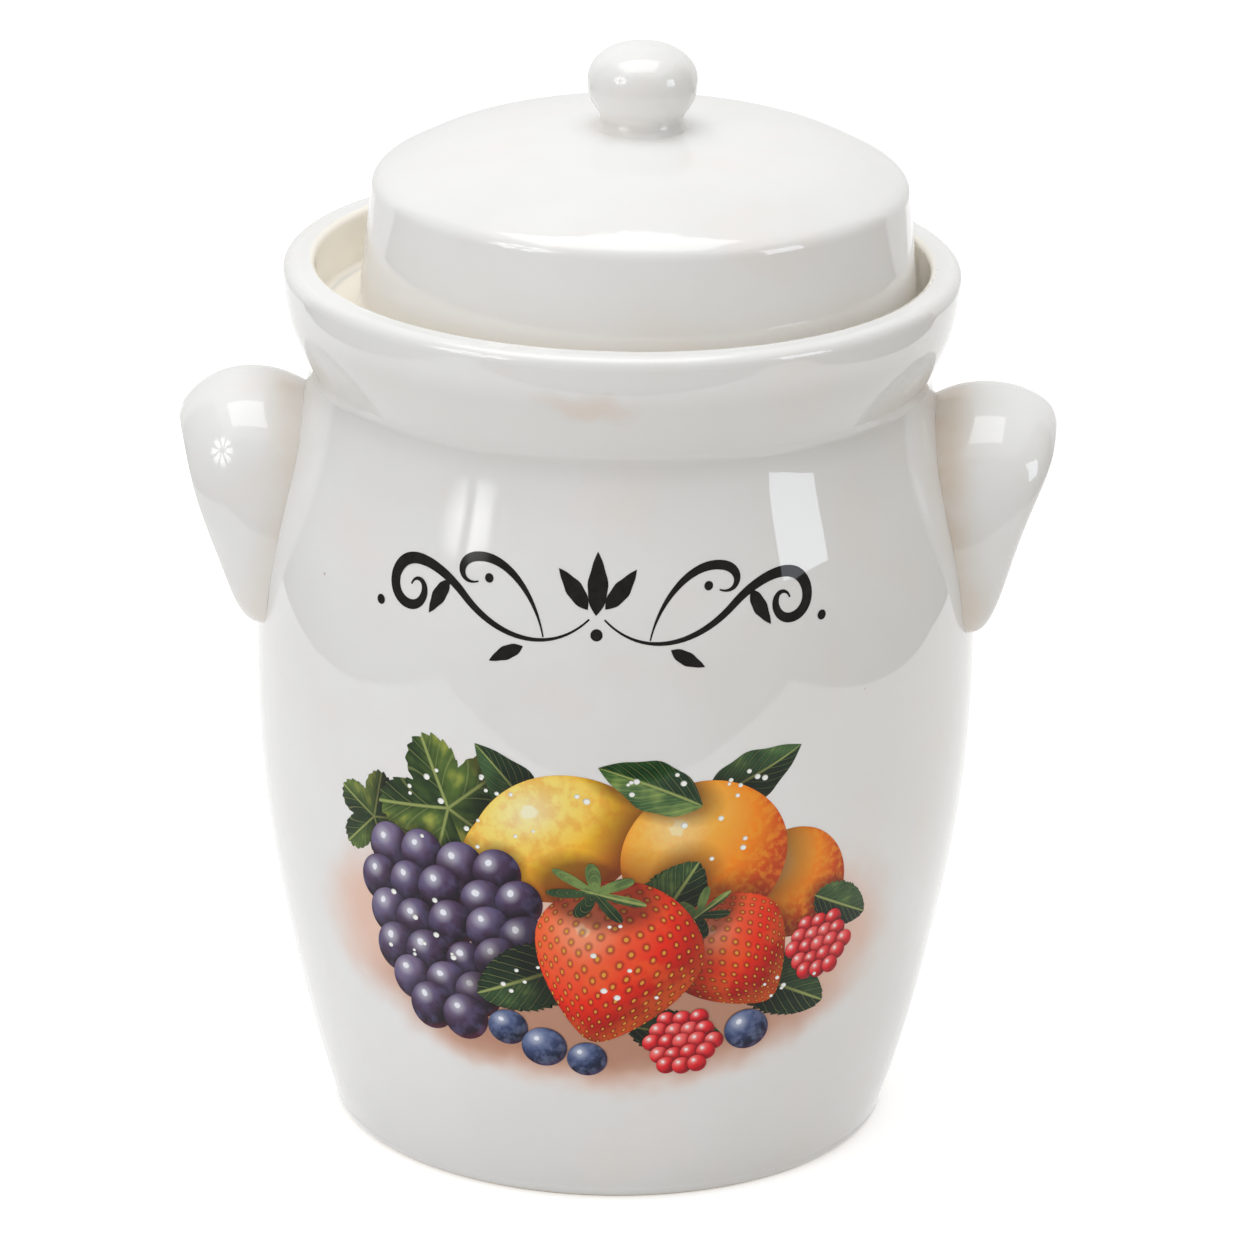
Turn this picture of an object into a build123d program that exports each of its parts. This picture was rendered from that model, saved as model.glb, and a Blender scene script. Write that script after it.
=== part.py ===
from build123d import *
import os
from math import cos, radians, sin

# Stoneware fruit crock with a loose lid, in millimetres.
# The crock stands on the table at z = 0, its axis is Z and its two handles lie along X.

# Crock
belly_radius = 98.2
belly_height = 137.0
foot_radius = 76.7
foot_edge_height = 3.6
foot_edge_round = 3.2
foot_ring_width = 9.0
foot_recess = 2.2
wall = 7.0
floor_thickness = 9.0
floor_round = 13.0
neck_radius = 83.6
neck_round = 5.0

# Galleried rim
rim_height = 242.5
rim_radius = 91.4
band_height = 29.5
lip_width = 8.6
lip_outer_round = 3.2
lip_inner_round = 2.0
gallery_depth = 15.0
gallery_lean = 0.6
gallery_round = 2.0
shelf_thickness = 8.0
shelf_edge_round = 2.4
seat_margin = 1.6

# Lid, which has play in the gallery and lies slid to the right in it
lid_play = 6.2
lid_slide = 4.5
lid_height = 51.8
lid_shoulder_radius = 72.1
lid_shoulder_height = 35.4
lid_wall = 6.0
lid_foot_round = 1.6

# Knob on the lid
knob_radius = 14.75
knob_height = 22.8
knob_widest_height = 12.3
knob_neck_radius = 11.2
knob_foot_flare = 3.4

# Handles, luted on by hand, so the left one is a little fuller than the right one
left_overhang = 21.0
right_overhang = 20.3
left_leg_length = 37.0
right_leg_length = 35.0
right_handle_turn = -1.7
handle_tip_overhang = 1.6
handle_arch_drop = 33.6
handle_arch_radius = 28.0
handle_half_width = 29.6
handle_tip_half_width = 26.0
handle_crown_thickness = 16.0
handle_leg_thickness = 11.0
handle_root_depth = 13.0

# Flank, from the foot up to the belly: share of the radius gained, share of the height
flank_shares = ((0.118, 0.061), (0.351, 0.199), (0.665, 0.428), (0.896, 0.658))

# Shoulder, from the belly up to the neck: share of the radius lost, share of the height
shoulder_shares = ((0.02, 0.17), (0.10, 0.37), (0.27, 0.54), (0.53, 0.70), (0.79, 0.845))

# Band under the lip, from the neck up: share of the radius gained, share of the height
band_shares = ((0.46, 0.26), (0.80, 0.52), (0.95, 0.76))

# Dome of the lid, from its crown to its shoulder: share of the radius, share of the drop
dome_shares = ((0.28, 0.025), (0.50, 0.105), (0.68, 0.240), (0.82, 0.445), (0.93, 0.690))

# Cap of the knob: share of its radius, share of the height above its widest ring
knob_cap_shares = (0.72, 0.74)

# Neck of the knob: height of its narrowest ring as a share of the foot's flare
knob_neck_share = 0.75

# Way that the knob's foot starts from the dome: inwards and twice as far up
knob_foot_direction = (-1, 2)

# Legs of the handles, from the tip up: share of the length, of the overhang, of the thickness
left_leg_shares = (
    (0.0, -0.07, 0.45), (0.03, 0.02, 0.75), (0.09, 0.11, 0.90), (0.42, 0.36, 0.97), (1.0, 0.73, 1.0),
)
right_leg_shares = (
    (0.0, -0.09, 0.45), (0.03, 0.0, 0.75), (0.09, 0.08, 0.90), (0.42, 0.30, 0.97), (1.0, 0.63, 1.0),
)

# Arch of the handles, from a leg round to the crown: share of the quarter turn, share of the overhang
arch_shares = ((0.34, 0.87), (0.68, 0.97), (1.0, 1.0))

# Cross-section of the handles, from the root over the nose and back: share of the reach, of the thickness
left_nose_shares = (
    (0.0, 0.40), (0.31, 0.74), (0.44, 0.92), (0.60, 1.0), (0.75, 0.93), (0.88, 0.72),
    (0.97, 0.44), (1.0, 0.24), (0.92, 0.05), (0.66, 0.0), (0.0, 0.05),
)
right_nose_shares = (
    (0.0, 0.40), (0.31, 0.76), (0.44, 0.93), (0.61, 1.0), (0.76, 0.95), (0.88, 0.81),
    (0.97, 0.60), (1.0, 0.36), (0.90, 0.07), (0.66, 0.0), (0.0, 0.05),
)

# Sizes that follow
quarter_turn = 90
neck_height = rim_height - band_height
gallery_floor = rim_height - gallery_depth
gallery_radius = rim_radius - lip_width - gallery_lean
shelf_underside = gallery_floor - shelf_thickness
lid_foot_radius = gallery_radius - lid_play
mouth_radius = lid_foot_radius - lid_wall - lid_play - seat_margin
lid_top = gallery_floor + lid_height
knob_foot_radius = knob_neck_radius + knob_foot_flare
handle_arch_height = rim_height - handle_arch_drop - handle_arch_radius
overrun = wall


def turned(outline):
    """The solid that a closed outline, drawn as radius and height, sweeps about Z."""
    return revolve(Plane.XZ * make_face(outline), Axis.Z)


def round_ring(solid, radius, height, rounding):
    """The same solid with its circular edge at one radius and height rounded."""
    ring = []
    for edge in solid.edges().filter_by(GeomType.CIRCLE):
        if abs(edge.radius - radius) < rounding / 2 and abs(edge.center().Z - height) < rounding / 2:
            ring.append(edge)
    return fillet(ring, rounding)


def wall_points(inset):
    """Points of the flank and the shoulder, from foot to neck, drawn in by an inset."""
    points = []
    for radius_share, height_share in flank_shares:
        radius = foot_radius + (belly_radius - foot_radius) * radius_share
        height = foot_edge_height + (belly_height - foot_edge_height) * height_share
        points.append((radius - inset, height))
    points.append((belly_radius - inset, belly_height))
    for radius_share, height_share in shoulder_shares:
        radius = belly_radius - (belly_radius - neck_radius) * radius_share
        points.append((radius - inset, belly_height + (neck_height - belly_height) * height_share))
    return points


def band_points():
    """Points of the flaring band, from the neck up to the lip."""
    points = [(neck_radius, neck_height)]
    for radius_share, height_share in band_shares:
        radius = neck_radius + (rim_radius - neck_radius) * radius_share
        points.append((radius, neck_height + band_height * height_share))
    points.append((rim_radius, rim_height))
    return points


def crock_form():
    """The crock's outside as one filled form, which the handles are trimmed to."""
    foot_edge = (foot_radius, foot_edge_height)
    outline = Polyline((0, rim_height), (0, 0), (foot_radius, 0), foot_edge)
    outline += Spline(foot_edge, *wall_points(0), (neck_radius, neck_height))
    outline += Spline(*band_points())
    outline += Line((rim_radius, rim_height), (0, rim_height))
    return turned(outline)


def crock_cavity():
    """The room inside, from its rounded floor to the underside of the gallery's shelf."""
    floor_radius = foot_radius - wall
    outline = Polyline((0, shelf_underside), (0, floor_thickness), (floor_radius, floor_thickness))
    outline += Spline((floor_radius, floor_thickness), *wall_points(wall), (mouth_radius, shelf_underside))
    outline += Line((mouth_radius, shelf_underside), (0, shelf_underside))
    return round_ring(turned(outline), floor_radius, floor_thickness, floor_round)


def mouth():
    """The round way in through the gallery's shelf."""
    height = shelf_thickness + overrun * 2
    return Pos(0, 0, gallery_floor + overrun) * Cylinder(
        mouth_radius, height, align=(Align.CENTER, Align.CENTER, Align.MAX)
    )


def gallery():
    """The stepped recess inside the lip that the lid stands in."""
    outline = Polyline(
        (0, gallery_floor),
        (gallery_radius, gallery_floor),
        (gallery_radius + gallery_lean, rim_height),
        (0, rim_height),
        close=True,
    )
    return round_ring(turned(outline), gallery_radius, gallery_floor, gallery_round)


def crock_body():
    """The crock: foot ring, bellied wall, waisted neck and galleried rim."""
    crock = round_ring(crock_form(), neck_radius, neck_height, neck_round)
    crock = crock - gallery() - crock_cavity() - mouth()
    recess_radius = foot_radius - foot_ring_width
    crock = crock - Cylinder(recess_radius, foot_recess, align=(Align.CENTER, Align.CENTER, Align.MIN))
    crock = round_ring(crock, foot_radius, 0, foot_edge_round)
    crock = round_ring(crock, rim_radius, rim_height, lip_outer_round)
    crock = round_ring(crock, rim_radius - lip_width, rim_height, lip_inner_round)
    return round_ring(crock, mouth_radius, gallery_floor, shelf_edge_round)


def lid_form(inset):
    """The lid's bell, drawn in by an inset: open foot, leaning wall and low dome."""
    top = lid_top - inset
    drop = lid_height - lid_shoulder_height
    shoulder_radius = lid_shoulder_radius - inset
    dome = [(0, top)]
    for radius_share, drop_share in dome_shares:
        dome.append((shoulder_radius * radius_share, top - drop * drop_share))
    dome.append((shoulder_radius, top - drop))
    wall_lean = (lid_foot_radius - lid_shoulder_radius, -lid_shoulder_height)
    outline = Polyline((0, top), (0, gallery_floor), (lid_foot_radius - inset, gallery_floor), dome[-1])
    outline += Spline(*dome, tangents=((1, 0), wall_lean))
    return turned(outline)


def lid():
    """The loose lid: a hollow bell whose foot stands on the gallery's floor."""
    bell = lid_form(0) - lid_form(lid_wall)
    bell = round_ring(bell, lid_foot_radius, gallery_floor, lid_foot_round)
    bell = round_ring(bell, lid_foot_radius - lid_wall, gallery_floor, lid_foot_round)
    return Pos(lid_slide, 0, 0) * bell


def lid_knob():
    """The turned knob on the lid's crown: flared foot, narrow neck and flattened ball."""
    foot = (knob_foot_radius, lid_top - knob_foot_flare)
    neck = (knob_neck_radius, lid_top + knob_foot_flare * knob_neck_share)
    widest = (knob_radius, lid_top + knob_widest_height)
    top = (0, lid_top + knob_height)
    cap_radius_share, cap_height_share = knob_cap_shares
    cap = (knob_radius * cap_radius_share, widest[1] + (top[1] - widest[1]) * cap_height_share)
    outline = Polyline(top, (0, foot[1]), foot)
    outline += Spline(foot, neck, widest, tangents=(knob_foot_direction, (0, 1)))
    outline += Spline(widest, cap, top, tangents=((0, 1), (-1, 0)))
    return Pos(lid_slide, 0, 0) * (turned(outline) - lid_form(0))


def handle_section(plane, reach, outer, thickness, nose_shares):
    """One cross-section of a handle: a blunt tongue from inside the wall out to its nose."""
    root = neck_radius - handle_root_depth
    points = []
    for reach_share, thickness_share in nose_shares:
        side = outer - thickness * (1 - thickness_share)
        points.append((root + (reach - root) * reach_share, side))
    return plane * make_face(Spline(*points) + Line(points[-1], points[0]))


def handle_stations(overhang, leg_length, leg_shares):
    """Angle, height, reach, outer side and thickness of each section from a tip to the crown."""
    spread = overhang - handle_tip_overhang
    stations = []
    for length_share, overhang_share, thickness_share in leg_shares:
        reach = belly_radius + handle_tip_overhang + spread * overhang_share
        thickness = handle_leg_thickness * thickness_share
        narrowing = (handle_half_width - handle_tip_half_width) * (1 - length_share) ** 2
        outer = handle_half_width - narrowing - (handle_leg_thickness - thickness) / 2
        height = handle_arch_height - leg_length * (1 - length_share)
        stations.append((quarter_turn, height, reach, outer, thickness))
    for turn_share, overhang_share in arch_shares:
        angle = quarter_turn * (1 - turn_share)
        reach = belly_radius + handle_tip_overhang + spread * overhang_share
        outer = handle_half_width + (handle_arch_radius - handle_half_width) * turn_share
        thickness = handle_leg_thickness + (handle_crown_thickness - handle_leg_thickness) * turn_share
        stations.append((angle, handle_arch_height, reach, outer, thickness))
    return stations


def handle(overhang, leg_length, leg_shares, nose_shares):
    """A lug handle on the +X side: an arched grip on two tapering legs, open below for the fingers."""
    half = handle_stations(overhang, leg_length, leg_shares)
    other_half = [(-station[0], *station[1:]) for station in reversed(half[:-1])]
    sections = []
    for angle, height, reach, outer, thickness in half + other_half:
        lean = radians(angle)
        plane = Plane((0, 0, height), x_dir=(1, 0, 0), z_dir=(0, -cos(lean), -sin(lean)))
        sections.append(handle_section(plane, reach, outer, thickness, nose_shares))
    return loft(sections) - crock_form()


def handle_left():
    """The handle on the -X side."""
    return mirror(handle(left_overhang, left_leg_length, left_leg_shares, left_nose_shares), Plane.YZ)


def handle_right():
    """The handle on the +X side, luted on a touch nearer the front."""
    grip = handle(right_overhang, right_leg_length, right_leg_shares, right_nose_shares)
    return Rot(0, 0, right_handle_turn) * grip


nodes = {
    "crock_body": crock_body(),
    "handle_left": handle_left(),
    "handle_right": handle_right(),
    "lid": lid(),
    "lid_knob": lid_knob(),
}

os.makedirs("parts", exist_ok=True)
for name, solid in nodes.items():
    export_step(solid, f"parts/{name}.step")
    print(name, round(solid.volume), "mm3")
cavity = crock_cavity().volume + mouth().volume / 2
print("room inside", round(cavity), "mm3")
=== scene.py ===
from bisect import bisect
from collections import namedtuple
from math import atan2, ceil, cos, hypot, pi, radians, sin

import bmesh
import bpy
from mathutils import Matrix, Vector
from mathutils.geometry import interpolate_bezier


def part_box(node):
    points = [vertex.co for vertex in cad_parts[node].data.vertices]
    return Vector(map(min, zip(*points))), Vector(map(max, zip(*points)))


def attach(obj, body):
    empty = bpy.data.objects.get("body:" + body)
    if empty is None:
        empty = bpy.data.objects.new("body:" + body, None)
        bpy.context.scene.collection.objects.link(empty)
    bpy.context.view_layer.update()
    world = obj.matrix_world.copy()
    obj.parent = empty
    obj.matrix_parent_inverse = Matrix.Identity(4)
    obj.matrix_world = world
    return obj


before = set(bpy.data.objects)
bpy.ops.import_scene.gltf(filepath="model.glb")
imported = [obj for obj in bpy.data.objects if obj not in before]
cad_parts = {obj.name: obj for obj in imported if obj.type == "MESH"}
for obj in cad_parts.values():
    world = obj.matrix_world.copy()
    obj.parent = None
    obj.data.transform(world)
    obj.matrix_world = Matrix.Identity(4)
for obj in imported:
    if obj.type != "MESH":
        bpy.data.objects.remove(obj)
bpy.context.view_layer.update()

# Looks of a glazed stoneware fruit crock: its glazes, the print fired on its front and the studio.
# Sizes are in metres and the decorated front faces -Y.

mm = 0.001
lid_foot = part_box("lid")[0][2]


# Colour and node helpers

def linear(hex_colour):
    """A written sRGB colour as the linear colour that the shaders take."""
    colour = []
    for start in (1, 3, 5):
        level = int(hex_colour[start:start + 2], 16) / 255
        colour.append(level / 12.92 if level <= 0.04045 else ((level + 0.055) / 1.055) ** 2.4)
    return (*colour, 1)


def add(tree, kind, settings=None, inputs=None, stops=None):
    """Adds a node with its settings, its inputs as values or links, and the stops of a colour ramp."""
    made = tree.nodes.new("ShaderNode" + kind)
    for name, value in (settings or {}).items():
        setattr(made, name, value)
    for place, value in (inputs or {}).items():
        if isinstance(value, bpy.types.NodeSocket):
            tree.links.new(value, made.inputs[place])
        else:
            made.inputs[place].default_value = value
    for number, (place, hex_colour) in enumerate(stops or []):
        points = made.color_ramp.elements
        point = points[number] if number < 2 else points.new(place)
        point.position = place
        point.color = linear(hex_colour)
    return made


def measure(tree, name, *values):
    """What a vector node gives for some values."""
    made = add(tree, "VectorMath", {"operation": name}, dict(enumerate(values)))
    return made.outputs["Value"] if name in ("DOT_PRODUCT", "DISTANCE", "LENGTH") else made.outputs[0]


def sums(tree, name, *values):
    """What a number node gives for some values, kept between 0 and 1 where it adds or takes away."""
    settings = {"operation": name, "use_clamp": name in ("ADD", "SUBTRACT")}
    return add(tree, "Math", settings, dict(enumerate(values))).outputs[0]


def fade(tree, value, start, end, top=1.0, kind="SMOOTHSTEP"):
    """A share that goes from 0 to a top while a value goes from its start to its end."""
    made = add(tree, "MapRange", {"interpolation_type": kind}, {
        "Value": value, "From Min": start, "From Max": end, "To Max": top,
    })
    return made.outputs[0]


def blend(tree, share, under, over, how="MIX"):
    """One colour laid over another by a share."""
    made = add(tree, "Mix", {"data_type": "RGBA", "blend_type": how}, {0: share, 6: under, 7: over})
    return made.outputs[2]


def object_place(tree):
    """Where a point of a piece lies, in metres."""
    return add(tree, "TexCoord").outputs["Object"]


def part_of(tree, vector, axis):
    """One number of a vector."""
    return add(tree, "SeparateXYZ", inputs={0: vector}).outputs[axis]


def shifted(tree, vector, factor, start):
    """A vector scaled by a factor and added to another."""
    return measure(tree, "MULTIPLY_ADD", vector, factor, start)


def noise(tree, size, detail):
    """A soft noise of a real size over a piece."""
    return add(tree, "TexNoise", inputs={"Vector": object_place(tree), "Scale": 1 / size, "Detail": detail})


def speckle(tree, size, low, high, detail=2.0):
    """Soft patches of a real size, from 0 to 1 between two levels of their noise."""
    return fade(tree, noise(tree, size, detail).outputs["Fac"], low, high, kind="LINEAR")


def finish(name):
    """A new material with nothing but its output, its node tree and that output's surface socket."""
    material = bpy.data.materials.new(name)
    material.use_nodes = True
    tree = material.node_tree
    tree.nodes.clear()
    return material, tree, add(tree, "OutputMaterial").inputs["Surface"]


# Camera: fitted to the circles of the pot, with a long lens from 1.9 m

camera_distance = 1874.55 * mm
camera_rise = radians(20.217)
camera_target_height = 120 * mm
camera_pitch = radians(19.662)
camera_yaw = radians(0.025)
camera_roll = radians(1.035)
photo_width = 1238
photo_focal_pixels = 6816.2
sensor_width = 36


def photo_camera():
    """The camera at the photograph's angle."""
    ahead = cos(camera_pitch)
    forward = Vector((sin(camera_yaw) * ahead, cos(camera_yaw) * ahead, -sin(camera_pitch)))
    level_right = forward.cross(Vector((0, 0, 1))).normalized()
    level_up = level_right.cross(forward)
    right = level_right * cos(camera_roll) + level_up * sin(camera_roll)
    up = level_up * cos(camera_roll) - level_right * sin(camera_roll)
    height = camera_target_height + camera_distance * sin(camera_rise)
    place = Vector((0, -camera_distance * cos(camera_rise), height))
    lens = bpy.data.cameras.new("camera")
    lens.sensor_width = sensor_width
    lens.lens = photo_focal_pixels / photo_width * sensor_width
    camera = bpy.data.objects.new("camera", lens)
    camera.matrix_world = Matrix.Translation(place) @ Matrix((right, up, -forward)).transposed().to_4x4()
    bpy.context.collection.objects.link(camera)
    bpy.context.scene.camera = camera


photo_camera()


# Studio: a pale floor, a table seen in the glaze, a dim room in front and soft lamps

def stage_panel(name, size_x, size_y, place, facing, material):
    """A flat panel of the studio that faces a way."""
    form = bmesh.new()
    bmesh.ops.create_grid(form, x_segments=1, y_segments=1, size=0.5)
    bmesh.ops.scale(form, vec=(size_x, size_y, 1), verts=form.verts)
    mesh = bpy.data.meshes.new(name)
    form.to_mesh(mesh)
    form.free()
    mesh.materials.append(material)
    panel = bpy.data.objects.new(name, mesh)
    panel.location = place
    panel.rotation_euler = Vector(facing).to_track_quat("Z", "Y").to_euler()
    bpy.context.collection.objects.link(panel)
    return panel


def only_reflected(thing):
    """Leaves a panel of the studio to show in the glaze alone."""
    thing.visible_camera = False
    thing.visible_diffuse = False
    thing.visible_shadow = False
    thing.visible_transmission = False


def soft_lamp(name, width, height, place, aim, power, hex_colour):
    """A rectangular soft lamp that reflections do not see."""
    light = bpy.data.lights.new(name, "AREA")
    light.shape = "RECTANGLE"
    light.size = width
    light.size_y = height
    light.energy = power
    light.color = linear(hex_colour)[:3]
    lamp = bpy.data.objects.new(name, light)
    lamp.location = place
    lamp.rotation_euler = (Vector(place) - Vector(aim)).to_track_quat("Z", "Y").to_euler()
    lamp.visible_glossy = False
    bpy.context.collection.objects.link(lamp)


subject = (0, 0, 0.19)
floor_size = 8
paper_top_up = 0.54
table_width = 1.08
table_front = -0.415
table_back = 1.1
table_middle_across = 0.01
table_glow = 1.1
table_left_glow = 0.22
table_shade_place = (0.05, -0.04, 0)
table_shade_edge = (0.09, 0.17)
table_shaded_share = 0.85
room_reach = 3.2
room_floor_height = -0.75
room_glow = 0.5
backdrop_height = 2.2
backdrop_middle = 1.0
backdrop_glow = 0.85
softbox_above_place = (-0.07, 0.03, 1.25)
softbox_above_aim = (-0.07, 0.03, 0)
softbox_above_size = (0.85, 0.75)
softbox_above_watts = 5.75
softbox_cloth_place = (-0.12, -0.09, 1.25)
softbox_cloth_size = (0.94, 0.70)
softbox_cloth_glow = 3.7
lamp_left_place = (-1.0, -1.1, 0.55)
lamp_left_size = (0.5, 0.6)
lamp_left_watts = 3.45
window_place = (1.07, -0.57, 0.58)
window_size = (0.39, 0.46)
window_glow = 5.2
petal_lamp_place = (-0.84, -0.68, 0.71)
petal_lamp_size = 0.76
petal_reach = (0.37, 0.21)
petal_hub = (0.03, 0.12)
petal_edge = (0.15, 0.85)
petal_count = 8
petal_glow = 6.6
air_glow = 0.6


def table_light(tree):
    """A white table, brighter at its left, with the pot's own soft shadow round the foot."""
    across = part_of(tree, object_place(tree), "X")
    side = fade(tree, across, table_width / 2, -table_width / 2, table_left_glow, "LINEAR")
    glow = sums(tree, "MULTIPLY_ADD", side, 1.0, table_glow)
    away = measure(tree, "DISTANCE", add(tree, "NewGeometry").outputs["Position"], table_shade_place)
    shade = fade(tree, away, *table_shade_edge, 1 - table_shaded_share)
    return sums(tree, "MULTIPLY", glow, sums(tree, "ADD", shade, table_shaded_share))


def petal_light(tree):
    """Soft petals of light round a dark hub."""
    place = object_place(tree)
    angle = sums(tree, "ARCTAN2", part_of(tree, place, "Y"), part_of(tree, place, "X"))
    wave = sums(tree, "SINE", sums(tree, "MULTIPLY", angle, petal_count / 2))
    petal = fade(tree, sums(tree, "ABSOLUTE", wave), *petal_edge)
    reach = measure(tree, "LENGTH", place)
    ring = sums(tree, "MULTIPLY", fade(tree, reach, *petal_reach), fade(tree, reach, *petal_hub))
    return sums(tree, "MULTIPLY", sums(tree, "MULTIPLY", petal, ring), petal_glow)


def glowing(name, hex_colour, strength_of, clear=False):
    """A studio surface that gives light, and lets what is behind it through where it is clear."""
    material, tree, surface = finish(name)
    light = add(tree, "Emission", inputs={"Color": linear(hex_colour), "Strength": strength_of(tree)})
    if clear:
        behind = add(tree, "BsdfTransparent")
        light = add(tree, "AddShader", inputs={0: light.outputs[0], 1: behind.outputs[0]})
    tree.links.new(light.outputs[0], surface)
    return material


def seen_directly(tree):
    """1 for what is seen, directly or in a reflection, and 0 for the light that falls on things."""
    path = add(tree, "LightPath")
    direct = sums(tree, "MAXIMUM", path.outputs["Is Camera Ray"], path.outputs["Is Glossy Ray"])
    return sums(tree, "MAXIMUM", direct, path.outputs["Is Transmission Ray"])


def paper_floor():
    """A matt paper floor that looks white but keeps the pot's shadow."""
    paper, tree, surface = finish("matt_white_paper")
    white = add(tree, "BsdfDiffuse", inputs={"Color": linear("#EEEEED")})
    lift = sums(tree, "MULTIPLY", seen_directly(tree), paper_top_up)
    top_up = add(tree, "Emission", inputs={"Color": linear("#FFFFFF"), "Strength": lift})
    both = add(tree, "AddShader", inputs={0: white.outputs[0], 1: top_up.outputs[0]})
    tree.links.new(both.outputs[0], surface)
    floor = stage_panel("floor", floor_size, floor_size, (0, 0, 0), (0, 0, 1), paper)
    floor.visible_glossy = False


def reflected_panels():
    """The panels that show in the glaze."""
    lit_table = glowing("lit_table", "#FFFFFF", table_light)
    dim_room = glowing("dim_room", "#B9B6B0", lambda tree: room_glow)
    backdrop = glowing("pale_backdrop", "#FFFFFF", lambda tree: backdrop_glow)
    window = glowing("window_daylight", "#EEF4FF", lambda tree: window_glow)
    cloth = glowing("softbox_cloth", "#FFFFFF", lambda tree: softbox_cloth_glow)
    petals = glowing("lamp_petals", "#FFFFFF", petal_light, clear=True)
    table_depth = table_back - table_front
    table_place = (table_middle_across, (table_back + table_front) / 2, -mm)
    window_aim = Vector(subject) - Vector(window_place)
    petal_aim = Vector(subject) - Vector(petal_lamp_place)
    for name, size_x, size_y, place, facing, material in (
        ("table_in_the_glaze", table_width, table_depth, table_place, (0, 0, 1), lit_table),
        ("room_floor", floor_size, floor_size, (0, 0, room_floor_height), (0, 0, 1), dim_room),
        ("room_front", floor_size, floor_size, (0, -room_reach, 0), (0, 1, 0), dim_room),
        ("room_left", floor_size, floor_size, (-room_reach, 0, 0), (1, 0, 0), dim_room),
        ("room_right", floor_size, floor_size, (room_reach, 0, 0), (-1, 0, 0), dim_room),
        ("backdrop", room_reach, backdrop_height, (0, table_back, backdrop_middle), (0, -1, 0), backdrop),
        ("softbox_cloth", *softbox_cloth_size, softbox_cloth_place, (0, 0, 1), cloth),
        ("window", *window_size, window_place, window_aim, window),
        ("petal_lamp", petal_lamp_size, petal_lamp_size, petal_lamp_place, petal_aim, petals),
    ):
        only_reflected(stage_panel(name, size_x, size_y, place, facing, material))


def studio_air():
    """Even light from all round, before a white that the camera sees."""
    world = bpy.data.worlds.new("studio_air")
    bpy.context.scene.world = world
    world.use_nodes = True
    tree = world.node_tree
    tree.nodes.clear()
    air = add(tree, "Background", inputs={"Color": linear("#FFFDFA"), "Strength": air_glow})
    white = add(tree, "Background", inputs={"Color": linear("#FFFFFF"), "Strength": 1.0})
    mixed = add(tree, "MixShader", inputs={0: seen_directly(tree), 1: air.outputs[0], 2: white.outputs[0]})
    add(tree, "OutputWorld", inputs={"Surface": mixed.outputs[0]})


paper_floor()
reflected_panels()
soft_lamp(
    "softbox_above", *softbox_above_size,
    softbox_above_place, softbox_above_aim, softbox_above_watts, "#F5FAFF",
)
soft_lamp("lamp_left", *lamp_left_size, lamp_left_place, subject, lamp_left_watts, "#EDF3FF")
studio_air()
bpy.context.scene.view_settings.view_transform = "Standard"


# Glaze

glaze_roughness = 0.03
glaze_index = 1.52
glaze_white = "#F0EFED"
glaze_cloud = "#ECEBE8"
glaze_cream = "#FCF6EA"
glaze_blush = "#F1E6DE"
glaze_speck = "#A98760"
# Painted shade: the grey laid on the downward-facing rim band and the neck under it
neck_shade_grey = "#D8D6D1"
# Painted shade: the tan laid in the crease where each handle meets the wall
joint_shade_tan = "#E6D8C8"
glaze_warm = "#FBF3EB"
bare_clay = "#D8C7AC"
wave_length = 30 * mm
wave_height = 0.5 * mm
wave_share = 0.2
cloud_size = 45 * mm
cloud_levels = (0.3, 0.7)
blush_size = 24 * mm
blush_levels = (0.52, 0.75)
blush_share = 0.35
speck_spacing = 11 * mm
speck_edge = (0.055, 0.02)
speck_share = 0.6
specks_kept = (0.90, 0.97)
clay_dullness = 0.8
inside_edge = (-0.02, -0.45)
outside_edge = (0.2, 0.5)
bare_foot = (1.2 * mm, 0.7 * mm)
gallery_edge = (80.8 * mm, 78.6 * mm)
gallery_low = (200 * mm, 205 * mm)
# Heights where the painted shade of the rim band and neck fades in and out
neck_low = (204 * mm, 214 * mm)
neck_high = (236 * mm, 227 * mm)
neck_shade_share = 0.5
joint_radius = 118 * mm
joint_lean = -0.14
joint_width = (1.12, 1.0)
# Painted shade in the handles' joints: patch size and levels, least and spread, share kept on the left
# handle
joint_shade_patch_size = 9 * mm
joint_shade_patch_levels = (0.2, 0.6)
joint_shade_least = 0.45
joint_shade_spread = 0.5
joint_shade_left = 0.6
handle_side = 10 * mm
lid_warm = (lid_foot + 17 * mm, lid_foot + 1 * mm)
lid_warm_share = 0.5
knob_foot_low = (287 * mm, 281 * mm)
knob_foot_out = (14 * mm, 11 * mm)
knob_foot_share = 0.3
picture_turn = radians(-4)
picture_height = 90 * mm
belly_wall = 96 * mm
halo_raggedness = 14 * mm
halo_noise_size = 16 * mm
# Soft tints round the picture, in millimetres from its middle: middle, half size, where full, share, colour
picture_tints = (
    ((5, -14), (97, 44), 0.74, 0.62, "#E8A47C"),
    ((4, -31), (82, 23), 0.5, 0.75, "#A8663C"),
    ((-2, 139), (19, 4.5), 0.2, 0.32, "#DDBB9E"),
)


def glaze_waves(tree):
    """The soft waviness that a dipped glaze sets with."""
    waves = noise(tree, wave_length, 1.0).outputs["Fac"]
    bump = add(tree, "Bump", inputs={"Strength": wave_share, "Distance": wave_height, "Height": waves})
    return bump.outputs["Normal"]


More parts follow.
